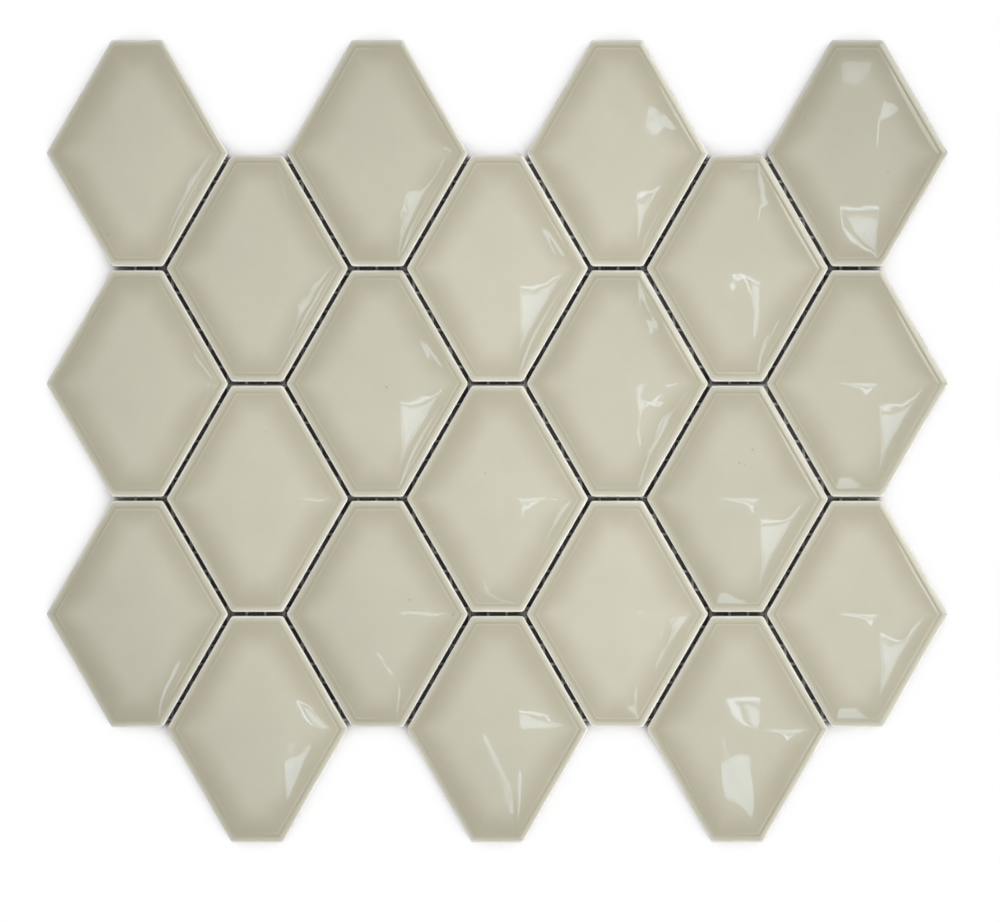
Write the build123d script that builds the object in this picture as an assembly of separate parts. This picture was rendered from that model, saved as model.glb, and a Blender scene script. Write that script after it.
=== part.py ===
from build123d import *
from math import atan, cos, degrees, radians, sin, tan
import os

# A sheet of mosaic tile: glazed ceramic chips, pressed as elongated hexagons,
# set in staggered columns and glued, face up, to a net of glass-fibre strands.
# Millimetres. +X runs across the columns, +Y along the chips, +Z out of the glaze.
# The origin is the middle of the back, at the underside of the net.

# Layout of the sheet
COLUMNS = 7
CHIPS_IN_COLUMN = 3
JOINT = 1.3

# One chip: its outline, its upright wall, and the rounding of its wall into its face
CHIP_LENGTH = 73.0
CHIP_END_WIDTH = 16.5
SIDE_LEAN = 30.0
CORNER_RADIUS = 1.2
WALL_HEIGHT = 5.7
ARRIS_RADIUS = 0.6
ARRIS_STEPS = 3

# The glazed face: a sloping rim, a fine crease, then a crown of six barrelled facets.
# Four side facets and two end facets meet along soft ridges.
RIM_WIDTH = 1.5
RIM_SLOPE = 15.0
CREASE_WIDTH = 0.25
SIDE_FACET_SLOPE = 5.0
SIDE_FACET_RADIUS = 600.0
END_FACET_RADIUS = 1500.0
END_FACET_HALF_WIDTH = 7.0

# The pressed back, with keying grooves that stop short of the walls
GROOVE_COUNT = 4
GROOVE_WIDTH = 2.4
GROOVE_DEPTH = 0.4
GROOVE_SPACING = 10.0
GROOVE_MARGIN = 4.0

# The net: long strands underneath, cross strands on them, glued where they cross
STRAND_WIDTH = 1.0
STRAND_THICKNESS = 0.25
STRAND_SPACING = 6.0
NET_MARGIN = 1.5

# Sizes that follow from those above
LEAN = radians(SIDE_LEAN)
CHIP_WIDTH = CHIP_END_WIDTH + CHIP_LENGTH * tan(LEAN)
ROW_PITCH = CHIP_LENGTH + JOINT
STAGGER = ROW_PITCH / 2
COLUMN_PITCH = (CHIP_WIDTH * cos(LEAN) + JOINT - STAGGER * sin(LEAN)) / cos(LEAN)
NET_THICKNESS = 2 * STRAND_THICKNESS
SHEET_WIDTH = (COLUMNS - 1) * COLUMN_PITCH + CHIP_WIDTH
SHEET_LENGTH = (CHIPS_IN_COLUMN - 1) * ROW_PITCH + STAGGER + CHIP_LENGTH

# Directions in which the four leaning sides and the two ends of a chip face
SIDE_DIRECTIONS = (SIDE_LEAN, 180 - SIDE_LEAN, 180 + SIDE_LEAN, -SIDE_LEAN)
END_DIRECTIONS = (90, -90)


def hexagon(length, end_width):
    """An elongated hexagon with its flat ends towards +Y and -Y."""
    corner_x, corner_y = end_width / 2, length / 2
    point_x = corner_x + corner_y * tan(LEAN)
    return Polygon(
        (point_x, 0), (corner_x, corner_y), (-corner_x, corner_y),
        (-point_x, 0), (-corner_x, -corner_y), (corner_x, -corner_y),
        align=None,
    )


def edge_bands():
    """Width and height of each sloping band between the wall and the crease."""
    turn = (90 - RIM_SLOPE) / ARRIS_STEPS
    angles = [radians(turn * step) for step in range(ARRIS_STEPS + 1)]
    arris = [
        (ARRIS_RADIUS * (cos(low) - cos(high)), ARRIS_RADIUS * (sin(high) - sin(low)))
        for low, high in zip(angles, angles[1:])
    ]
    rim = (RIM_WIDTH, RIM_WIDTH * tan(radians(RIM_SLOPE)))
    return [*arris, rim]


def barrel(direction, reach, height, slope, radius):
    """A level barrel that rises inward at a slope from an edge at a reach and height."""
    axis_x = reach - radius * sin(radians(slope))
    axis_z = height - radius * cos(radians(slope))
    roll = Cylinder(radius, 3 * CHIP_LENGTH, rotation=(90, 0, 0))
    return Rot(0, 0, direction) * (Pos(axis_x, 0, axis_z) * roll)


def crown(base, inset):
    """The crowned middle of the face, from a height and a distance inside the outline."""
    side_reach = CHIP_WIDTH / 2 * cos(LEAN) - inset
    end_reach = CHIP_LENGTH / 2 - inset
    side_run = side_reach - END_FACET_HALF_WIDTH * cos(LEAN)
    rise = side_run * tan(radians(SIDE_FACET_SLOPE)) - side_run**2 / (2 * SIDE_FACET_RADIUS)
    end_slope = degrees(atan((rise + end_reach**2 / (2 * END_FACET_RADIUS)) / end_reach))
    pillow = extrude(Pos(0, 0, base) * hexagon(CHIP_LENGTH, CHIP_END_WIDTH), 2 * rise)
    for direction in SIDE_DIRECTIONS:
        pillow &= barrel(direction, side_reach, base, SIDE_FACET_SLOPE, SIDE_FACET_RADIUS)
    for direction in END_DIRECTIONS:
        pillow &= barrel(direction, end_reach, base, end_slope, END_FACET_RADIUS)
    return pillow


def keying_grooves():
    """Shallow grooves along the back, inside a plain margin."""
    inner = offset(hexagon(CHIP_LENGTH, CHIP_END_WIDTH), -GROOVE_MARGIN, kind=Kind.INTERSECTION)
    first = -(GROOVE_COUNT - 1) / 2 * GROOVE_SPACING
    strips = Sketch() + [
        Pos(first + index * GROOVE_SPACING, 0) * Rectangle(GROOVE_WIDTH, CHIP_LENGTH)
        for index in range(GROOVE_COUNT)
    ]
    return extrude(strips & inner, GROOVE_DEPTH)


def make_chip():
    """One chip with the middle of its back at the origin."""
    outline = hexagon(CHIP_LENGTH, CHIP_END_WIDTH)
    body = extrude(outline, WALL_HEIGHT)
    for width, height in edge_bands():
        top = body.faces().sort_by(Axis.Z)[-1]
        body += extrude(top, height, taper=degrees(atan(width / height)))
    base = body.bounding_box().max.Z
    body += crown(base, CREASE_WIDTH + sum(width for width, _ in edge_bands()))
    rounded = fillet(outline.vertices(), CORNER_RADIUS)
    body &= extrude(rounded, 2 * base)
    return body - keying_grooves()


def chip_places():
    """Column, row and centre of each chip; every second column sits half a pitch lower."""
    for column in range(COLUMNS):
        x = (column - (COLUMNS - 1) / 2) * COLUMN_PITCH
        shift = STAGGER / 2 if column % 2 == 0 else -STAGGER / 2
        for row in range(CHIPS_IN_COLUMN):
            y = ((CHIPS_IN_COLUMN - 1) / 2 - row) * ROW_PITCH + shift
            yield column + 1, row + 1, x, y


def net_outline():
    """The zig-zag edge of the net, trimmed back from the outer walls of the chips."""
    cell_end_width = COLUMN_PITCH - STAGGER * tan(LEAN)
    cells = Sketch() + [
        Pos(x, y) * hexagon(ROW_PITCH, cell_end_width) for _, _, x, y in chip_places()
    ]
    return offset(cells, -(JOINT / 2 + NET_MARGIN), kind=Kind.INTERSECTION)


def strand_layer(outline, span, direction, level):
    """Parallel strands over a span, cut at the outline; ends too short to hold are left out."""
    count = int(span // STRAND_SPACING)
    first = -(count - 1) / 2 * STRAND_SPACING
    strand = Rectangle(max(SHEET_WIDTH, SHEET_LENGTH), STRAND_WIDTH)
    strands = Sketch() + [
        Rot(0, 0, direction) * Pos(0, first + index * STRAND_SPACING) * strand
        for index in range(count)
    ]
    held = [
        piece for piece in (strands & outline).faces()
        if piece.area > STRAND_WIDTH * STRAND_SPACING
    ]
    return Part() + [extrude(Pos(0, 0, level) * piece, STRAND_THICKNESS) for piece in held]


def make_sheet():
    """Every piece of the sheet, by name."""
    outline = net_outline()
    pieces = {
        "net_long_strands": strand_layer(outline, SHEET_WIDTH, 90, 0),
        "net_cross_strands": strand_layer(outline, SHEET_LENGTH, 0, STRAND_THICKNESS),
    }
    chip = make_chip()
    for column, row, x, y in chip_places():
        pieces[f"chip_{column}_{row}"] = Pos(x, y, NET_THICKNESS) * chip
    return pieces


os.makedirs("parts", exist_ok=True)
for name, solid in make_sheet().items():
    export_step(solid, f"parts/{name}.step")
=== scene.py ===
"""Dresses a mesh-mounted sheet of glazed mosaic chips, seen from straight above."""

import math
import random
import typing

import bpy
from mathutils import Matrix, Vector, noise
from mathutils.geometry import tessellate_polygon


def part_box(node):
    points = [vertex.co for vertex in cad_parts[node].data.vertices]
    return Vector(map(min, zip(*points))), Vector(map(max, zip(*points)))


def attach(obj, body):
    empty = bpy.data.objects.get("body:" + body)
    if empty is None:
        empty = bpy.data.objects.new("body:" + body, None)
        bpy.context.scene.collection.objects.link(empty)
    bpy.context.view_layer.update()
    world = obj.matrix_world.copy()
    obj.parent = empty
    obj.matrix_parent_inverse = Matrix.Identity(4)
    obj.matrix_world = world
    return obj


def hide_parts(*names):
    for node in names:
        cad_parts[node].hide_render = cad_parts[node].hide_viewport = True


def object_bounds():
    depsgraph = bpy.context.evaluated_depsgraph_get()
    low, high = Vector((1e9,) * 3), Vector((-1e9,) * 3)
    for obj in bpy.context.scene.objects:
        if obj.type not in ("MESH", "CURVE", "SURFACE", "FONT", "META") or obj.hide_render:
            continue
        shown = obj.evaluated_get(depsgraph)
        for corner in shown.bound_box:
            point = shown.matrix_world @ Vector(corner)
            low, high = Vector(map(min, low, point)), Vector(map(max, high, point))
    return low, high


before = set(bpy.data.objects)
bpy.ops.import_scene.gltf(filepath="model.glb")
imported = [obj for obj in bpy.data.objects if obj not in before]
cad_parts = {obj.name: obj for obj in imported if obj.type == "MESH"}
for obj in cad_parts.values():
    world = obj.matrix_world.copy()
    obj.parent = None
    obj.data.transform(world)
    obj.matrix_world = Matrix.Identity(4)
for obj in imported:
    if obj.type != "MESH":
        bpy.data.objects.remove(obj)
CAD_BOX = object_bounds()

bl_info = {
    "name": "Glazed Mosaic Sheet",
    "version": (1, 0, 0),
    "blender": (4, 5, 0),
    "location": "3D View > Sidebar > Mosaic",
    "description": "Glazed chips on a glass-fibre net, with a studio to see them in",
    "category": "Object",
}

BODY = "root"
MM = 0.001
CHIP_NODES = sorted(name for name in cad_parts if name.startswith("chip_"))
NET_NODES = sorted(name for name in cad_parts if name.startswith("net_"))

# A chip's outline: four long sides that lean from upright, and two short ends.
LEAN = math.radians(30)
SIDE_NORMALS = [math.radians(a) for a in (-30, 30, 90, 150, 210, 270)]
END_SIDES = (2, 5)
CORNER_TURN = math.radians(60)
LEAST_CORNER_RADIUS = 0.12 * MM

# How finely a chip is cut: along each kind of side, and from the back up to the middle of the crown.
# A crowding above 1 brings the crown's rings closer together near the rim.
SIDE_STEPS = 40
END_STEPS = 16
CORNER_STEPS = 5
BACK_EDGE_STEPS = 3
WALL_STEPS = 4
ARRIS_STEPS = 7
RIM_STEPS = 4
CROWN_STEPS = 42
CROWN_CROWDING = 1.15
SHARP_EDGE = math.radians(40)

# Relief of the crown. The headroom under the node's top is left for its lean and its waves. Its ridges
# get crisper over one distance from the rim, and its sway and waves fade out over another.
HEADROOM = 0.09 * MM
RIDGE_FADE = 4 * MM
WAVE_FADE = 6 * MM
SWAY_SPACING = 9 * MM
FINE_SWAY_SPACING = 3.5 * MM
FINE_SWAY_SHARE = 0.25
LEAST_SWELL = 0.6
CHIP_SEED = 11

# The net's strands: sides of a section, share of the solid strand's width, and how they sway and thin.
STRAND_SIDES = 8
STRAND_SHARE = 0.94
STRAND_SWAY_SPACING = 9 * MM
STRAND_PINCH_SPACING = 3 * MM
STRAND_PINCH = 0.16
STRAND_SHARP_EDGE = math.radians(60)

# Windows that only mirrors show: their colour, how bright each kind is, and the frame's size beside
# its pane. The points of the other reflections are spaced along and across their outlines.
DAYLIGHT = (0.8, 1.0, 1.2)
SHEEN = 1.8
PANE = 3.6
FRAME = 6.0
FRAME_INSIDE = 1.28
FRAME_OUTSIDE = 1.5
GLOW_SPACING = 0.6 * MM
GLOW_ROWS = 8

# Chips that mirror a window are calmer than the others. Some lean so that they show the same one.
CALM = 0.25
WINDOWS = {
    "side": ("chip_3_2", "chip_4_1"),
    "main": ("chip_6_2", "chip_7_2", "chip_7_3"),
}
# How far a window's own chip lies in +Y from the middle of the chips that show it, in millimetres.
WINDOW_SHIFT = {"side": 25, "main": -6}
# A place on a chip that shows its window, and the window's corners there, in millimetres.
MIRROR_SPOT = (12, -12)
PANE_CORNERS = ((7.9, -9.4), (18.4, -5.2), (8.1, -23.5))
# Other reflections on a chip: brightness, width (0 for a filled patch) and corners, in millimetres.
REFLECTIONS = {
    "chip_2_3": (
        PANE, 0,
        (8.6, -10.3), (16.5, -7.3), (14.5, -11.5), (12.4, -17), (9.6, -23), (9.3, -19), (9, -14.8),
    ),
    "chip_4_3": (PANE, 1.1, (-4.3, -2), (-0.4, -10.3), (3.8, -18.3), (4.6, -27)),
    "chip_5_1": (
        PANE, 0,
        (8.8, 8.4), (12.2, 11.6), (15.6, 12.4), (18.8, 8.2), (17.6, 7.4), (15.4, 8.6), (12.2, 5.6),
    ),
    "chip_6_3": (SHEEN, 1.1, (-4.8, -3), (-3.6, -8.2), (-1.2, -16.5), (2.6, -22), (2.6, -25.9)),
    "chip_7_1": (SHEEN, 0, (-5, 29.5), (5, 29.5), (3.6, 26), (-0.3, 22), (-5, 23)),
}

# Each spot's direction in degrees and its part of the light, then what all spots share, in metres.
SPOTS = {"key": (-50, 0.55), "right": (20, 0.25), "back": (110, 0.12), "left": (190, 0.08)}
SPOT_HEIGHT = math.radians(48)
SPOT_SPREAD = math.radians(25)
SPOT_RADIUS = 0.12
SPOT_AIM = Vector((0, 0.01, 0))
# Each soft box's place, width and height in metres, and its brightness.
SOFTBOXES = {
    "right_softbox": ((1.35, -0.45, 1.25), 1.3, 1.6, 1.0),
    "back_softbox": ((0.69, 0.4, 1.39), 0.5, 0.3, 3.0),
}
# The floor reaches this far each way and lies this far under the sheet.
FLOOR_REACH = 6.0
FLOOR_GAP = 0.05 * MM
# The width of the camera's sensor, in millimetres.
SENSOR_WIDTH = 36


def linear(red, green, blue):
    """A colour read as 0 to 255 screen values, as the linear values that a shader takes."""
    def one(value):
        """One of the three values."""
        share = value / 255
        return share / 12.92 if share <= 0.04045 else ((share + 0.055) / 1.055) ** 2.4
    return one(red), one(green), one(blue)


def length(name, description, millimetres):
    """A length that a user would change."""
    return bpy.props.FloatProperty(
        name=name, description=description, default=millimetres * MM,
        subtype="DISTANCE", unit="LENGTH", precision=5,
    )


def angle(name, description, degrees):
    """An angle that a user would change."""
    return bpy.props.FloatProperty(
        name=name, description=description, default=math.radians(degrees),
        subtype="ANGLE", unit="ROTATION",
    )


def share(name, description, value):
    """A plain number that a user would change."""
    return bpy.props.FloatProperty(name=name, description=description, default=value)


def colour(name, description, red, green, blue):
    """A colour that a user would change."""
    return bpy.props.FloatVectorProperty(
        name=name, description=description, default=linear(red, green, blue),
        subtype="COLOR", size=3, min=0, max=1,
    )


class MosaicChipSettings(bpy.types.PropertyGroup):
    """Sizes of one pressed and glazed chip."""
    corner_radius: length("Corner radius", "Rounding of the upright corners", 1.2)
    back_edge: length("Back edge", "Rounding where the wall meets the back", 0.25)
    wall_height: length("Wall height", "From the back to the start of the arris", 5.8)
    arris_radius: length("Arris radius", "Rounding between the wall and the face", 0.6)
    rim_width: length("Rim width", "Sloping rim round the face", 1.5)
    rim_slope: angle("Rim slope", "Slope of the rim", 11)
    crease_width: length("Crease width", "Fine groove inside the rim", 0.55)
    crease_depth: length("Crease depth", "How deep the groove is drawn in", 0.04)
    shoulder_reach: length("Shoulder reach", "How fast the shoulder flattens", 1.4)
    side_slope: angle("Side slope", "Slope of the four side facets", 2.2)
    end_slope: angle("End slope", "Slope of the two end facets", 1.1)
    dome_height: length("Dome height", "Height that the dome adds in the middle", 0.43)
    dome_radius: length("Dome radius", "Radius of the dome that swells the facets", 1500)
    ridge_softness: length("Ridge softness", "Rounding of the ridges between facets", 0.02)
    ridge_sway: length("Ridge sway", "How far the ridges wander sideways", 0.9)
    glaze_swell: length("Glaze swell", "Height of the slow waves in the glaze", 0.02)
    swell_spacing: length("Swell spacing", "Distance between the slow waves", 13)
    face_tilt: angle("Face tilt", "How far a face may lean from level", 0.3)
    groove_width: length("Groove width", "Keying grooves in the back", 2.4)
    groove_depth: length("Groove depth", "Keying grooves in the back", 0.4)
    groove_spacing: length("Groove spacing", "Keying grooves in the back", 10)
    groove_margin: length("Groove margin", "Plain edge round the grooves", 4)
    groove_count: bpy.props.IntProperty(
        name="Groove count", description="Keying grooves in the back", default=4,
    )


class MosaicGlazeSettings(bpy.types.PropertyGroup):
    """Colours of the glaze and of the ceramic under it, and how far each reaches."""
    crown: colour("Crown", "Glaze on the crown", 214, 210, 191)
    pool: colour("Pool", "Glaze where it lies deepest", 195, 190, 168)
    thin: colour("Thin", "Glaze drawn thin over an edge", 246, 244, 237)
    ceramic: colour("Ceramic", "Bare pressed ceramic", 206, 200, 186)
    # Besides the specks, this colour paints the shade in the crease.
    speck: colour("Speck", "Small dark specks", 150, 142, 120)
    roughness: share("Roughness", "Roughness of the glaze", 0.02)
    thin_reach: length("Thin reach", "How far in from the edge the glaze is thin", 0.85)
    pool_reach: length("Pool reach", "How far in from the edge the glaze is pooled", 12.5)
    bare_height: length("Bare height", "How far up the wall the ceramic is bare", 2.2)


class MosaicNetSettings(bpy.types.PropertyGroup):
    """Sizes and colour of the glass-fibre strands."""
    step: length("Step", "Distance between sections of a strand", 2.5)
    sway: length("Sway", "How far a strand wanders sideways", 0.12)
    fibre: colour("Fibre", "Coated glass fibre", 226, 226, 218)


class MosaicStageSettings(bpy.types.PropertyGroup):
    """Camera, floor and lamps."""
    distance: length("Camera height", "Camera above the back", 2600)
    seen_width: length("Seen width", "Width of the floor that the picture takes in", 322.2)
    centre_x: length("Centre X", "Middle of the picture", 0.85)
    centre_y: length("Centre Y", "Middle of the picture", -6.4)
    floor: colour("Floor", "Floor and backdrop", 245, 245, 245)
    # Painted shade: the colour the floor is drawn in deep between the chips.
    joint_shade: colour("Joint", "Floor deep between the chips", 90, 86, 72)
    sky_overhead: share("Sky overhead", "Brightness of the surroundings straight above", 0.15)
    sky_around: share("Sky around", "Brightness of the surroundings half way up", 0.33)
    sky_low: share("Sky low", "Brightness of the surroundings near the floor", 0.9)
    spot_level: share("Spot level", "Light of the four spots on the middle of the sheet", 0.5)
    window_height: length("Window height", "Windows above the back", 3000)
    spot_reach: length("Spot reach", "Distance of each spot from the sheet", 1200)


class Value:
    """A shader socket that takes part in arithmetic; each operation adds a Math node."""

    def __init__(self, shader, socket):
        self.shader = shader
        self.socket = socket

    def math(self, operation, *others):
        """A Math node with this socket first."""
        inputs = dict(enumerate((self, *others)))
        return self.shader.node("ShaderNodeMath", {"operation": operation}, inputs)

    def __add__(self, other):
        return self.math("ADD", other)

    def __sub__(self, other):
        return self.math("SUBTRACT", other)

    def __mul__(self, other):
        return self.math("MULTIPLY", other)

    def __truediv__(self, other):
        return self.math("DIVIDE", other)

    def __rsub__(self, other):
        return self.shader.node("ShaderNodeMath", {"operation": "SUBTRACT"}, {0: other, 1: self})

    def __abs__(self):
        return self.math("ABSOLUTE")

    __radd__ = __add__
    __rmul__ = __mul__


class Shader:
    """A material or world under construction."""

    def __init__(self, owner):
        owner.use_nodes = True
        self.tree = owner.node_tree
        self.tree.nodes.clear()

    def node(self, kind, settings=None, inputs=None, output=0):
        """Adds a node: its settings are set first, then the values or links of its sockets."""
        made = self.tree.nodes.new(kind)
        for name, value in (settings or {}).items():
            setattr(made, name, value)
        for name, value in (inputs or {}).items():
            if isinstance(value, Value):
                self.tree.links.new(value.socket, made.inputs[name])
            else:
                made.inputs[name].default_value = value
        return Value(self, made.outputs[output]) if len(made.outputs) else made

    def smooth(self, value, low, high):
        """0 below low, 1 above high, and a smooth rise between them."""
        inputs = {"Value": value, "From Min": low, "From Max": high}
        return self.node("ShaderNodeMapRange", {"interpolation_type": "SMOOTHSTEP"}, inputs)

    def mix(self, factor, first, second):
        """One colour over another."""
        def paint(item):
            """A socket as it is, or a plain colour with its opacity added."""
            return item if isinstance(item, Value) else (*item, 1)
        inputs = {0: factor, 6: paint(first), 7: paint(second)}
        return self.node("ShaderNodeMix", {"data_type": "RGBA"}, inputs, output=2)

    def brighten(self, tint, factor):
        """A colour times a number."""
        grey = self.node("ShaderNodeCombineColor", {}, {0: factor, 1: factor, 2: factor})
        settings = {"data_type": "RGBA", "blend_type": "MULTIPLY"}
        return self.node("ShaderNodeMix", settings, {0: 1.0, 6: tint, 7: grey}, output=2)

    def vector(self, operation, first, second):
        """A Vector Math node."""
        return self.node("ShaderNodeVectorMath", {"operation": operation}, {0: first, 1: second})

    def noise(self, place, scale, detail=2.0, roughness=0.5):
        """Soft noise from 0 to 1, about 0.5 in the middle; the scale is in waves a metre."""
        inputs = {"Vector": place, "Scale": scale, "Detail": detail, "Roughness": roughness}
        return self.node("ShaderNodeTexNoise", {}, inputs)

    def finish(self, surface, kind="ShaderNodeOutputMaterial"):
        """Links the finished surface to the output."""
        self.node(kind, {}, {"Surface": surface})


class Chip(typing.NamedTuple):
    """One chip of the sheet: its node, number, place, lean, tone and share of the full waves."""
    node: str
    seed: int
    centre: Vector
    tilt: Vector
    tone: float
    waves: float


class ChipForm:
    """The shape of a chip, worked out from its node's box and the settings, in metres."""

    def __init__(self, settings, low, high):
        self.s = settings
        cut = settings.corner_radius * (1 / math.cos(LEAN) - 1)
        self.half_length = (high.y - low.y) / 2
        self.half_width = (high.x - low.x) / 2 + cut
        self.height = high.z - low.z
        self.side_reach = self.half_width * math.cos(LEAN)
        self.rim_inset = settings.arris_radius * (1 - math.sin(settings.rim_slope))
        self.rim_z = settings.wall_height + settings.arris_radius * math.cos(settings.rim_slope)
        self.crease_inset = self.rim_inset + settings.rim_width
        self.crease_z = self.rim_z + settings.rim_width * math.tan(settings.rim_slope)
        self.crown_inset = self.crease_inset + settings.crease_width
        raw_top = self.crown_height(0, 0)
        self.crown_scale = (self.height - self.crease_z - HEADROOM) / raw_top

    def reach(self, side):
        """Distance from the chip's middle to a side."""
        return self.half_length if side in END_SIDES else self.side_reach

    def corner(self, index, inset):
        """Sharp corner between two sides of the outline drawn in by an inset."""
        first, second = index, (index + 1) % 6
        a, b = SIDE_NORMALS[first], SIDE_NORMALS[second]
        reach_a, reach_b = self.reach(first) - inset, self.reach(second) - inset
        turn = math.sin(b - a)
        x = (reach_a * math.sin(b) - reach_b * math.sin(a)) / turn
        y = (reach_b * math.cos(a) - reach_a * math.cos(b)) / turn
        return Vector((x, y))

    def ring(self, inset):
        """Points round the outline drawn in by an inset, with rounded corners."""
        radius = max(self.s.corner_radius - inset, LEAST_CORNER_RADIUS)
        arcs = []
        for index in range(6):
            a = SIDE_NORMALS[index]
            middle = a + CORNER_TURN / 2
            out = Vector((math.cos(middle), math.sin(middle)))
            centre = self.corner(index, inset) - out * radius / math.cos(LEAN)
            turns = [a + CORNER_TURN * step / CORNER_STEPS for step in range(CORNER_STEPS + 1)]
            arcs.append([centre + Vector((math.cos(t), math.sin(t))) * radius for t in turns])
        points = []
        for index in range(6):
            points += arcs[index]
            after = (index + 1) % 6
            start, end = arcs[index][-1], arcs[after][0]
            steps = END_STEPS if after in END_SIDES else SIDE_STEPS
            points += [start.lerp(end, step / steps) for step in range(1, steps)]
        return points

    def crown_height(self, x, y):
        """Height above the crease: six facets with soft ridges, domed behind a curved shoulder."""
        s = self.s
        dome = s.dome_height - (x * x + y * y) / (2 * s.dome_radius)
        heights, nearest = [], self.half_length
        for side, normal in enumerate(SIDE_NORMALS):
            distance = self.reach(side) - self.crown_inset - x * math.cos(normal) - y * math.sin(normal)
            distance = max(distance, 0)
            nearest = min(nearest, distance)
            slope = s.end_slope if side in END_SIDES else s.side_slope
            swollen = dome * (1 - math.exp(-distance / s.shoulder_reach))
            heights.append(math.tan(slope) * distance + swollen)
        soft = max(s.ridge_softness * min(1, nearest / RIDGE_FADE), 1e-6)
        lowest = min(heights)
        total = sum(math.exp(-(h - lowest) / soft) for h in heights)
        return lowest - soft * math.log(total)


def crown_surface(form, chip, x, y):
    """Height of a chip's crown, with its lean, swaying ridges and slow waves."""
    s = form.s
    inside = min(
        form.reach(side) - x * math.cos(n) - y * math.sin(n) for side, n in enumerate(SIDE_NORMALS)
    ) - form.crown_inset
    fade = min(1, max(0, inside / WAVE_FADE))
    fade = fade * fade * (3 - 2 * fade) * chip.waves
    # Every chip's number moves its noise, so that no two chips are alike.
    own = Vector((chip.seed * 7.31, chip.seed * 3.17, chip.seed))
    place = Vector((x, y, 0))
    drift = noise.noise_vector(place / SWAY_SPACING + own) * s.ridge_sway * fade
    drift += noise.noise_vector(place / FINE_SWAY_SPACING + own) * s.ridge_sway * FINE_SWAY_SHARE * fade
    wave = noise.noise(place / s.swell_spacing + own) * s.glaze_swell * fade
    height = form.crown_height(x + drift.x, y + drift.y) + wave * (LEAST_SWELL + (chip.seed * 0.618) % 1)
    return form.crease_z + form.crown_scale * height + chip.tilt.x * x + chip.tilt.y * y


def mirrored(form, chip, stage, x, y):
    """Where the camera's line of sight meets the plane of the windows, off a place on a crown."""
    step = 0.25 * MM
    rise_x = crown_surface(form, chip, x + step, y) - crown_surface(form, chip, x - step, y)
    rise_y = crown_surface(form, chip, x, y + step) - crown_surface(form, chip, x, y - step)
    normal = Vector((-rise_x, -rise_y, 2 * step)).normalized()
    point = chip.centre + Vector((x, y, crown_surface(form, chip, x, y)))
    sight = point - Vector((stage.centre_x, stage.centre_y, stage.distance))
    back = sight - 2 * sight.dot(normal) * normal
    return point + back * (stage.window_height - point.z) / back.z


def window_chip(form, name):
    """The level chip without waves that a window is shaped for."""
    centres = []
    for node in WINDOWS[name]:
        low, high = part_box(node)
        centres.append(Vector(((low.x + high.x) / 2, (low.y + high.y) / 2, low.z)))
    centre = sum(centres, Vector()) / len(centres) + Vector((0, WINDOW_SHIFT[name] * MM, 0))
    return Chip(name, 0, centre, Vector((0, 0)), 0.5, 0)


def chip_places(form, stage):
    """Every chip of the sheet, the same on every run; some lean so that they show a window."""
    noise.seed_set(CHIP_SEED)
    draw = random.Random(CHIP_SEED)
    reach = math.tan(form.s.face_tilt)
    x, y = (part * MM for part in MIRROR_SPOT)
    places = []
    for seed, node in enumerate(CHIP_NODES):
        low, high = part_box(node)
        centre = Vector(((low.x + high.x) / 2, (low.y + high.y) / 2, low.z))
        tilt = Vector((draw.uniform(-reach, reach), draw.uniform(-reach, reach)))
        tone = draw.random()
        chip = Chip(node, seed, centre, tilt, tone, CALM if node in REFLECTIONS else 1)
        for name, nodes in WINDOWS.items():
            if node in nodes:
                chip = Chip(node, seed, centre, Vector((0, 0)), tone, CALM)
                aim = mirrored(form, window_chip(form, name), stage, x, y)
                miss = mirrored(form, chip, stage, x, y) - aim
                chip = chip._replace(tilt=miss.xy / (2 * stage.window_height))
        places.append(chip)
    return places


def chip_rings(form, chip):
    """Rings of points from the back edge to the middle of the crown."""
    s = form.s
    rings = []

    def add(inset, z, face_share):
        """A ring at an inset and a height, with a share of the face's lean."""
        points = form.ring(inset)
        rings.append([(p.x, p.y, z + face_share * chip.tilt.dot(p)) for p in points])

    for step in range(BACK_EDGE_STEPS + 1):
        t = math.radians(90 * step / BACK_EDGE_STEPS)
        add(s.back_edge * (1 - math.sin(t)), s.back_edge * (1 - math.cos(t)), 0)
    for step in range(1, WALL_STEPS + 1):
        add(0, s.back_edge + (s.wall_height - s.back_edge) * step / WALL_STEPS, step / WALL_STEPS)
    turn = math.pi / 2 - s.rim_slope
    for step in range(1, ARRIS_STEPS + 1):
        t = turn * step / ARRIS_STEPS
        add(s.arris_radius * (1 - math.cos(t)), s.wall_height + s.arris_radius * math.sin(t), 1)
    rise = form.crease_z - form.rim_z
    for step in range(1, RIM_STEPS + 1):
        add(form.rim_inset + s.rim_width * step / RIM_STEPS, form.rim_z + rise * step / RIM_STEPS, 1)
    add(form.crease_inset + s.crease_width / 2, form.crease_z - s.crease_depth, 1)
    edge = form.ring(form.crown_inset)
    for step in range(CROWN_STEPS):
        size = 1 - (step / CROWN_STEPS) ** CROWN_CROWDING
        places = [(p.x * size, p.y * size) for p in edge]
        rings.append([(x, y, crown_surface(form, chip, x, y)) for x, y in places])
    return rings


def groove_outlines(form):
    """Outline of each keying groove in the back, inside the plain margin."""
    s = form.s
    side = form.side_reach - s.groove_margin
    end = form.half_length - s.groove_margin
    bend = (side - end * math.sin(LEAN)) / math.cos(LEAN)

    def top(x):
        """How far up a groove reaches at this place across the chip."""
        return min(end, (side - abs(x) * math.cos(LEAN)) / math.sin(LEAN))

    outlines = []
    for index in range(s.groove_count):
        middle = (index - (s.groove_count - 1) / 2) * s.groove_spacing
        left, right = middle - s.groove_width / 2, middle + s.groove_width / 2
        xs = [left, *(b for b in (-bend, bend) if left < b < right), right]
        upper = [(x, top(x)) for x in reversed(xs)]
        lower = [(x, -top(x)) for x in xs]
        outlines.append(lower + upper)
    return outlines


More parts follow.
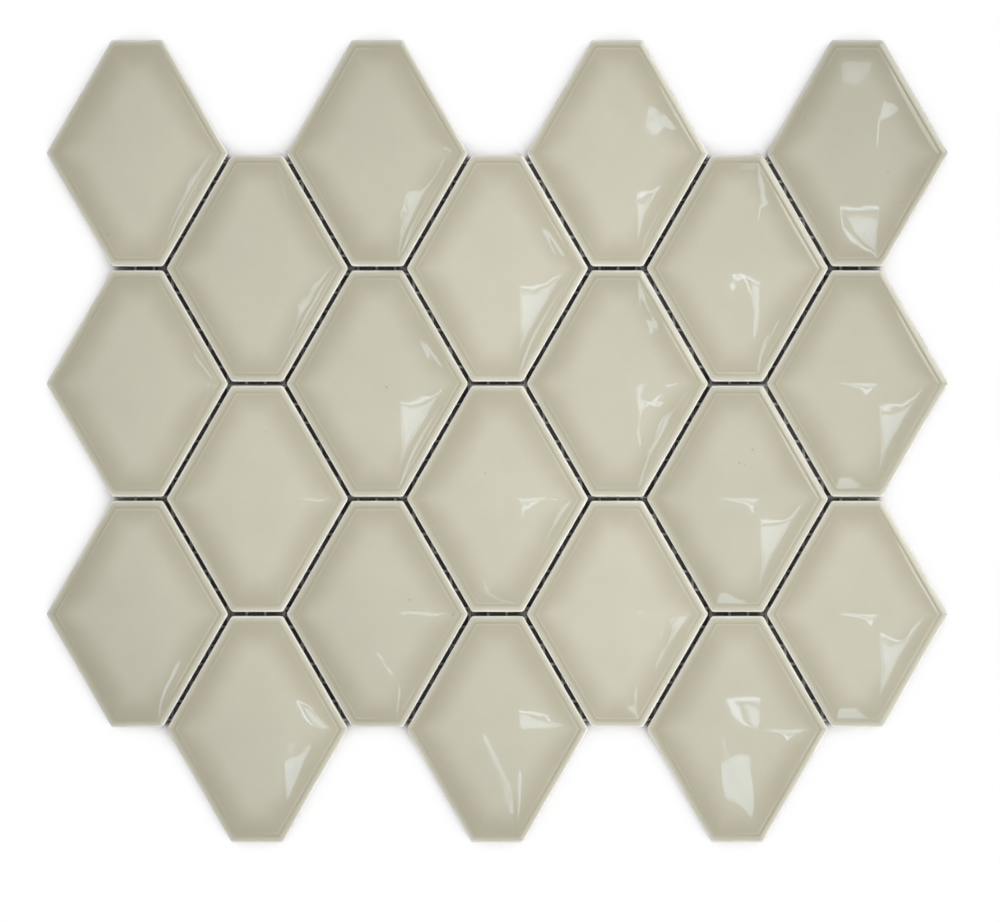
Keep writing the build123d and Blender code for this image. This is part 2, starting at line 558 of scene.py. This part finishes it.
def chip_back(form, ring, vertices, faces):
    """The back face round its grooves, and the walls and floors of the grooves."""
    loops = [[Vector(p) for p in ring]]
    numbers = list(range(len(ring)))
    for outline in groove_outlines(form):
        start = len(vertices)
        vertices += [(x, y, 0) for x, y in outline]
        vertices += [(x, y, form.s.groove_depth) for x, y in outline]
        count = len(outline)
        numbers += range(start, start + count)
        loops.append([Vector((x, y, 0)) for x, y in outline])
        faces.append(tuple(reversed(range(start + count, start + 2 * count))))
        for index in range(count):
            after = (index + 1) % count
            faces.append((start + index, start + after, start + count + after, start + count + index))
    for triangle in tessellate_polygon(loops):
        a, b, c = (numbers[i] for i in triangle)
        origin = Vector(vertices[a])
        normal = (Vector(vertices[b]) - origin).cross(Vector(vertices[c]) - origin)
        faces.append((a, b, c) if normal.z < 0 else (a, c, b))


def chip_mesh(name, form, chip):
    """Mesh of one chip about its own centre."""
    rings = chip_rings(form, chip)
    count = len(rings[0])
    vertices = [p for ring in rings for p in ring]
    faces = []
    for level in range(len(rings) - 1):
        low, high = level * count, (level + 1) * count
        for index in range(count):
            after = (index + 1) % count
            faces.append((low + index, low + after, high + after, high + index))
    middle = len(vertices)
    vertices.append((0, 0, crown_surface(form, chip, 0, 0)))
    last = (len(rings) - 1) * count
    faces += [(last + index, last + (index + 1) % count, middle) for index in range(count)]
    chip_back(form, rings[0], vertices, faces)
    mesh = bpy.data.meshes.new(name)
    mesh.from_pydata(vertices, [], faces)
    mesh.validate()
    mesh.polygons.foreach_set("use_smooth", [True] * len(mesh.polygons))
    mesh.set_sharp_from_angle(angle=SHARP_EDGE)
    attribute = mesh.attributes.new("tone", "FLOAT", "POINT")
    attribute.data.foreach_set("value", [chip.tone] * len(mesh.vertices))
    return mesh


def glaze_material(glaze, form):
    """Glossy glaze: thin over the arris, pooled inside the rim, clearer on the crown."""
    material = bpy.data.materials.new("chip_glaze")
    shader = Shader(material)
    place = shader.node("ShaderNodeTexCoord", output=3)
    split = shader.node("ShaderNodeSeparateXYZ", {}, {0: place})
    axes = split.socket.node.outputs
    x, y, z = (Value(shader, axes[index]) / MM for index in range(3))

    # Every chip's tone also moves its noise, so that no two chips are alike.
    tone = shader.node("ShaderNodeAttribute", {"attribute_name": "tone"}, output=2)
    offset = shader.node("ShaderNodeCombineXYZ", {}, {0: tone * 3.7, 1: tone * 1.9, 2: tone * 0.7})
    own = shader.vector("ADD", place, offset)

    # Distances from the chip's outline, in millimetres: one with crisper corners, one that wanders.
    side = form.side_reach / MM - abs(x) * math.cos(LEAN) - abs(y) * math.sin(LEAN)
    end = form.half_length / MM - abs(y)
    crisp = side.math("SMOOTH_MIN", end, 0.6)
    wander = shader.noise(own, 90, 3) - 0.5
    drift = shader.noise(own, 35, 2) - 0.5
    inset = side.math("SMOOTH_MIN", end, 1.5) + wander * 0.5

    # The glaze pools inside the rim, less where the side ridges run out, and is thin over the edge.
    clearing = shader.smooth(inset + drift * 4, 2.5, glaze.pool_reach / MM)
    pooled = shader.smooth(inset, 0.8, 2.2) * (1 - clearing)
    ridge = (1 - shader.smooth(abs(y), 0, 6.5)) * shader.smooth(inset, 3, 7)
    pooled = pooled * (1 - ridge * 0.45)
    thin = 1 - shader.smooth(inset + wander * 0.4, 0.05, glaze.thin_reach / MM)
    paint = shader.mix(pooled, glaze.crown, glaze.pool)
    paint = shader.mix(thin, paint, glaze.thin)

    # The crease shows here and there as a dark line of painted shade, with a pale line inside it.
    patchy = shader.smooth(drift, -0.12, 0.1)
    groove = (form.crease_inset + form.s.crease_width / 2) / MM
    # Painted shade: a dark line along the middle of the crease.
    filled = 1 - shader.smooth(abs(crisp - groove), 0.05, 0.4)
    crease_pale_line = 1 - shader.smooth(abs(crisp - groove - 0.55), 0.05, 0.45)
    # The speck colour paints the shade in the crease.
    paint = shader.mix(filled * patchy * 0.2, paint, glaze.speck)
    paint = shader.mix(crease_pale_line * patchy * 0.16, paint, glaze.thin)

    # A few specks, and slight differences in tone from chip to chip and across each chip.
    grains = shader.node("ShaderNodeTexVoronoi", {"feature": "F1"}, {"Vector": own, "Scale": 260.0})
    rare = shader.noise(own, 60, 1)
    speck = (1 - shader.smooth(grains, 0.04, 0.16)) * shader.smooth(rare, 0.66, 0.74)
    paint = shader.mix(speck * 0.45, paint, glaze.speck)
    mottle = shader.noise(own, 420, 3, 0.7) - 0.5
    cloud = shader.noise(own, 85, 2) - 0.5
    light = 1 + (tone - 0.5) * 0.08 + mottle * 0.035 + drift * 0.05 + cloud * 0.07
    paint = shader.brighten(paint, light)

    # The glaze ends in runs above the bare, grainy ceramic low on the walls.
    run = shader.noise(own, 210, 2) - 0.5
    bare_top = glaze.bare_height / MM
    bare = 1 - shader.smooth(z + run * 2.4, bare_top - 0.8, bare_top)
    paint = shader.mix(bare, paint, glaze.ceramic)
    rough = glaze.roughness + bare * 0.6 + speck * 0.1
    grain = shader.noise(own, 900, 2) * bare
    bump = shader.node("ShaderNodeBump", {}, {"Strength": 0.5, "Distance": 0.0001, "Height": grain})
    surface = shader.node(
        "ShaderNodeBsdfPrincipled", {},
        {"Base Color": paint, "Roughness": rough, "IOR": 1.52, "Normal": bump},
    )
    shader.finish(surface)
    return material


def fibre_material(net):
    """Coated glass fibre: fine yarns along the strand under a dull coating."""
    material = bpy.data.materials.new("net_fibre")
    shader = Shader(material)
    place = shader.node("ShaderNodeTexCoord", output=3)
    yarn = shader.noise(place, 2600, 2, 0.6)
    patch = shader.noise(place, 160, 2)
    paint = shader.brighten((*net.fibre, 1), 0.86 + yarn * 0.14 + patch * 0.1)
    bump = shader.node("ShaderNodeBump", {}, {"Strength": 0.6, "Distance": 0.00008, "Height": yarn})
    surface = shader.node(
        "ShaderNodeBsdfPrincipled", {},
        {"Base Color": paint, "Roughness": 0.45 + patch * 0.25, "Normal": bump},
    )
    shader.finish(surface)
    return material


def place_piece(name, mesh, material, location, node):
    """Puts a finished mesh on the sheet in place of its node."""
    piece = bpy.data.objects.new(name, mesh)
    mesh.materials.append(material)
    bpy.context.scene.collection.objects.link(piece)
    piece.location = location
    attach(piece, BODY)
    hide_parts(node)


def strand_boxes(node):
    """Lowest and highest corner of each strand in a layer's node, in the order of the lowest ones."""
    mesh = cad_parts[node].data
    groups = {}
    link = {}

    def root(key):
        """The corner that stands for all corners joined to this one."""
        while link.setdefault(key, key) != key:
            key = link[key]
        return key

    keys = [tuple(round(c / MM, 3) for c in v.co) for v in mesh.vertices]
    for polygon in mesh.polygons:
        first = root(keys[polygon.vertices[0]])
        for index in polygon.vertices:
            link[root(keys[index])] = first
    for key in keys:
        groups.setdefault(root(key), []).append(key)
    boxes = []
    for points in groups.values():
        low = Vector([min(p[axis] for p in points) for axis in range(3)]) * MM
        high = Vector([max(p[axis] for p in points) for axis in range(3)]) * MM
        boxes.append((low, high))
    return sorted(boxes, key=lambda box: tuple(box[0]))


def strand_rings(low, high, net, seed):
    """Flattened sections along one strand, with a little sideways sway, kept in the strand's box."""
    along = 0 if high.x - low.x > high.y - low.y else 1
    across = 1 - along
    run = high[along] - low[along]
    steps = max(3, round(run / net.step))
    half_width = (high[across] - low[across]) / 2
    half_height = (high.z - low.z) / 2
    half_side = 180 / STRAND_SIDES
    reach = math.cos(math.radians(half_side))
    rings = []
    for step in range(steps + 1):
        place = low[along] + run * step / steps
        waver = noise.noise(Vector((place / STRAND_SWAY_SPACING, seed * 1.7, 0)))
        thinner = abs(noise.noise(Vector((place / STRAND_PINCH_SPACING, seed * 2.3, 5))))
        width = half_width * STRAND_SHARE * (1 - STRAND_PINCH * thinner)
        centre = (low[across] + high[across]) / 2 + net.sway * waver / 2
        ring = []
        for turn in range(STRAND_SIDES):
            t = math.radians(half_side + 2 * half_side * turn)
            point = [0, 0, 0]
            point[along] = place
            point[across] = centre + width * math.cos(t) / reach
            point[2] = (low.z + high.z) / 2 + half_height * math.sin(t) / reach
            ring.append(point)
        rings.append(ring)
    return rings


def net_mesh(name, node, net):
    """All the strands of one layer as one mesh."""
    vertices, faces = [], []
    for seed, (low, high) in enumerate(strand_boxes(node)):
        rings = strand_rings(low, high, net, seed)
        first = len(vertices)
        vertices += [p for ring in rings for p in ring]
        for level in range(len(rings) - 1):
            a = first + level * STRAND_SIDES
            b = a + STRAND_SIDES
            for turn in range(STRAND_SIDES):
                after = (turn + 1) % STRAND_SIDES
                faces.append((a + turn, a + after, b + after, b + turn))
        faces.append(tuple(reversed(range(first, first + STRAND_SIDES))))
        faces.append(tuple(range(len(vertices) - STRAND_SIDES, len(vertices))))
    mesh = bpy.data.meshes.new(name)
    mesh.from_pydata(vertices, [], faces)
    mesh.polygons.foreach_set("use_smooth", [True] * len(mesh.polygons))
    mesh.set_sharp_from_angle(angle=STRAND_SHARP_EDGE)
    return mesh


def floor_material(stage):
    """A white floor that keeps the shadow close to the sheet, with painted shade deep in the joints."""
    material = bpy.data.materials.new("floor_white")
    shader = Shader(material)
    seen = shader.node("ShaderNodeLightPath", output=0)
    open_sky = shader.node("ShaderNodeAmbientOcclusion", {"samples": 8}, {"Distance": 0.012}, output=1)
    # Painted shade: where little sky is open, the floor takes the joint-shade colour.
    paint = shader.mix(shader.smooth(open_sky, 0.12, 0.4), stage.joint_shade, stage.floor)
    matt = shader.node("ShaderNodeBsdfDiffuse", {}, {"Color": paint})
    clear = shader.smooth(open_sky, 0.2, 0.75) * seen
    white = shader.node("ShaderNodeEmission", {}, {"Color": (1, 1, 1, 1), "Strength": 1.0})
    shader.finish(shader.node("ShaderNodeMixShader", {}, {0: clear, 1: matt, 2: white}))
    return material


def add_softbox(name, place, width, height, brightness):
    """A soft box of a size and brightness, aimed at the middle of the sheet."""
    lamp = bpy.data.lights.new(name, "AREA")
    lamp.shape = "RECTANGLE"
    lamp.size = width
    lamp.size_y = height
    lamp.energy = brightness * math.pi * width * height
    holder = bpy.data.objects.new(name, lamp)
    bpy.context.scene.collection.objects.link(holder)
    holder.location = place
    holder.rotation_euler = (-Vector(place)).to_track_quat("-Z", "Y").to_euler()
    holder.visible_camera = False


def along_line(points, spacing):
    """Points at an even spacing along a line of straight runs."""
    steps = []
    for start, end in zip(points, points[1:]):
        count = max(1, math.ceil((end - start).length / spacing))
        steps += [start.lerp(end, index / count) for index in range(count)]
    return steps + [points[-1]]


def band_grid(points, width):
    """A band along a line, as rows of two points."""
    line = along_line(points, GLOW_SPACING)
    rows = []
    for index, point in enumerate(line):
        ahead = line[min(index + 1, len(line) - 1)] - line[max(index - 1, 0)]
        across = Vector((-ahead.y, ahead.x)).normalized() * width / 2
        rows.append([point - across, point + across])
    return rows


def patch_grid(points):
    """A filled outline, as rows of points that close in on its middle."""
    edge = along_line([*points, points[0]], GLOW_SPACING)
    middle = sum(points, Vector((0, 0))) / len(points)
    return [[point.lerp(middle, step / GLOW_ROWS) for step in range(GLOW_ROWS + 1)] for point in edge]


def add_window(name, form, chip, stage, level, width, corners):
    """Daylight shaped so that the camera sees it mirrored in a chip as a band or a filled patch."""
    points = [Vector(corner) * MM for corner in corners]
    grid = band_grid(points, width * MM) if width else patch_grid(points)
    rows = [[mirrored(form, chip, stage, point.x, point.y) for point in row] for row in grid]
    add_glow(name, level, rows)


def add_framed_window(name, form, stage):
    """A pane of daylight inside a thin bright frame, shown by the chips that lean towards it."""
    chip = window_chip(form, name)
    corners = [mirrored(form, chip, stage, x * MM, y * MM) for x, y in PANE_CORNERS]
    middle = sum(corners, Vector()) / len(corners)
    loop = [*corners, corners[0]]

    def ring(size):
        """The window's outline at a size, about its middle."""
        return [middle + (corner - middle) * size for corner in loop]

    add_glow(f"{name}_pane", PANE, [ring(0), ring(1)])
    add_glow(f"{name}_frame", FRAME, [ring(FRAME_INSIDE), ring(FRAME_OUTSIDE)])


def add_glow(name, level, rows):
    """A sheet of daylight through rows of points, which only mirrors show."""
    count = len(rows[0])
    vertices = [point for row in rows for point in row]
    faces = []
    for row in range(len(rows) - 1):
        for column in range(count - 1):
            corner = row * count + column
            faces.append((corner, corner + 1, corner + count + 1, corner + count))
    mesh = bpy.data.meshes.new(name)
    mesh.from_pydata(vertices, [], faces)
    material = bpy.data.materials.new(name)
    shader = Shader(material)
    tint = tuple(level * part for part in DAYLIGHT)
    shader.finish(shader.node("ShaderNodeEmission", {}, {"Color": (*tint, 1), "Strength": 1.0}))
    mesh.materials.append(material)
    window = bpy.data.objects.new(name, mesh)
    bpy.context.scene.collection.objects.link(window)
    window.visible_camera = False
    window.visible_diffuse = False
    window.visible_shadow = False


def add_spots(stage):
    """Four soft spots round the sheet, the strongest from the front right, that fade outwards."""
    reach = stage.spot_reach
    flat = reach * math.cos(SPOT_HEIGHT)
    for name, (turn, part) in SPOTS.items():
        lamp = bpy.data.lights.new(f"spot_{name}", "SPOT")
        lamp.spot_size = SPOT_SPREAD
        lamp.spot_blend = 1.0
        lamp.shadow_soft_size = SPOT_RADIUS
        lamp.energy = part * stage.spot_level * 4 * math.pi ** 2 * reach ** 2 / math.sin(SPOT_HEIGHT)
        holder = bpy.data.objects.new(f"spot_{name}", lamp)
        bpy.context.scene.collection.objects.link(holder)
        azimuth = math.radians(turn)
        rise = reach * math.sin(SPOT_HEIGHT)
        place = Vector((flat * math.cos(azimuth), flat * math.sin(azimuth), rise))
        holder.location = place + SPOT_AIM
        holder.rotation_euler = (-place).to_track_quat("-Z", "Y").to_euler()
        holder.visible_camera = False
        holder.visible_glossy = False


def add_surroundings(stage):
    """Soft light from all round, dimmest straight above; the camera sees plain white."""
    world = bpy.data.worlds.new("studio")
    bpy.context.scene.world = world
    shader = Shader(world)
    seen = shader.node("ShaderNodeLightPath", output=0)
    way = shader.node("ShaderNodeTexCoord", output=0)
    up = shader.node("ShaderNodeSeparateXYZ", {}, {0: way}, output=2)
    level = stage.sky_around + shader.smooth(up, 0.85, 0.95) * (stage.sky_overhead - stage.sky_around)
    level = level + (1 - shader.smooth(up, 0.15, 0.4)) * (stage.sky_low - stage.sky_around)
    strength = level * (1 - seen) + seen
    glow = shader.node("ShaderNodeBackground", {}, {"Color": (1, 1, 1, 1), "Strength": strength})
    shader.finish(glow, "ShaderNodeOutputWorld")


class MOSAIC_OT_chips(bpy.types.Operator):
    """Model every glazed chip in its place on the net"""
    bl_idname = "mosaic.chips"
    bl_label = "Glazed Chips"

    def execute(self, context):
        scene = context.scene
        low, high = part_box(CHIP_NODES[0])
        form = ChipForm(scene.mosaic_chip, low, high)
        material = glaze_material(scene.mosaic_glaze, form)
        for chip in chip_places(form, scene.mosaic_stage):
            name = f"{chip.node}_glazed"
            mesh = chip_mesh(name, form, chip)
            place_piece(name, mesh, material, chip.centre, chip.node)
        return {"FINISHED"}


class MOSAIC_OT_net(bpy.types.Operator):
    """Model the glass-fibre net under the chips"""
    bl_idname = "mosaic.net"
    bl_label = "Glass-fibre Net"

    def execute(self, context):
        net = context.scene.mosaic_net
        material = fibre_material(net)
        for node in NET_NODES:
            mesh = net_mesh(f"{node}_woven", node, net)
            place_piece(f"{node}_woven", mesh, material, (0, 0, 0), node)
        return {"FINISHED"}


class MOSAIC_OT_stage(bpy.types.Operator):
    """Set up the floor, the lamps and the camera over the sheet"""
    bl_idname = "mosaic.stage"
    bl_label = "Floor, Lamps and Camera"

    def execute(self, context):
        scene = context.scene
        stage = scene.mosaic_stage
        scene.view_settings.view_transform = "Standard"
        mesh = bpy.data.meshes.new("floor")
        level = CAD_BOX[0].z - FLOOR_GAP
        ends = ((-1, -1), (1, -1), (1, 1), (-1, 1))
        corners = [(x * FLOOR_REACH, y * FLOOR_REACH, level) for x, y in ends]
        mesh.from_pydata(corners, [], [(0, 1, 2, 3)])
        mesh.materials.append(floor_material(stage))
        floor = bpy.data.objects.new("floor", mesh)
        scene.collection.objects.link(floor)
        add_surroundings(stage)
        add_spots(stage)
        for name, values in SOFTBOXES.items():
            add_softbox(name, *values)
        low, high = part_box(CHIP_NODES[0])
        form = ChipForm(scene.mosaic_chip, low, high)
        for name in WINDOWS:
            add_framed_window(name, form, stage)
        for chip in chip_places(form, stage):
            if chip.node in REFLECTIONS:
                brightness, width, *corners = REFLECTIONS[chip.node]
                add_window(f"window_{chip.node}", form, chip, stage, brightness, width, corners)
        camera = bpy.data.cameras.new("camera")
        camera.sensor_width = SENSOR_WIDTH
        drop = stage.distance - (CAD_BOX[1].z - CAD_BOX[0].z)
        camera.lens = SENSOR_WIDTH * drop / stage.seen_width
        camera.clip_start = 0.1
        camera.clip_end = 50
        holder = bpy.data.objects.new("camera", camera)
        scene.collection.objects.link(holder)
        holder.location = (stage.centre_x, stage.centre_y, stage.distance)
        scene.camera = holder
        return {"FINISHED"}


class MOSAIC_PT_sidebar(bpy.types.Panel):
    """Lists the steps that build and light the sheet"""
    bl_idname = "MOSAIC_PT_sidebar"
    bl_label = "Mosaic Sheet"
    bl_space_type = "VIEW_3D"
    bl_region_type = "UI"
    bl_category = "Mosaic"

    def draw(self, context):
        for step in OPERATORS:
            self.layout.operator(step.bl_idname, text=step.bl_label)


SETTINGS = {
    "mosaic_chip": MosaicChipSettings,
    "mosaic_glaze": MosaicGlazeSettings,
    "mosaic_net": MosaicNetSettings,
    "mosaic_stage": MosaicStageSettings,
}
OPERATORS = (MOSAIC_OT_chips, MOSAIC_OT_net, MOSAIC_OT_stage)


def register():
    for name, group in SETTINGS.items():
        bpy.utils.register_class(group)
        setattr(bpy.types.Scene, name, bpy.props.PointerProperty(type=group))
    for item in (*OPERATORS, MOSAIC_PT_sidebar):
        bpy.utils.register_class(item)


def unregister():
    for item in reversed((*OPERATORS, MOSAIC_PT_sidebar)):
        bpy.utils.unregister_class(item)
    for name, group in reversed(SETTINGS.items()):
        delattr(bpy.types.Scene, name)
        bpy.utils.unregister_class(group)


def main():
    register()
    bpy.ops.mosaic.chips()
    bpy.ops.mosaic.net()
    bpy.ops.mosaic.stage()


if __name__ == "__main__":
    main()
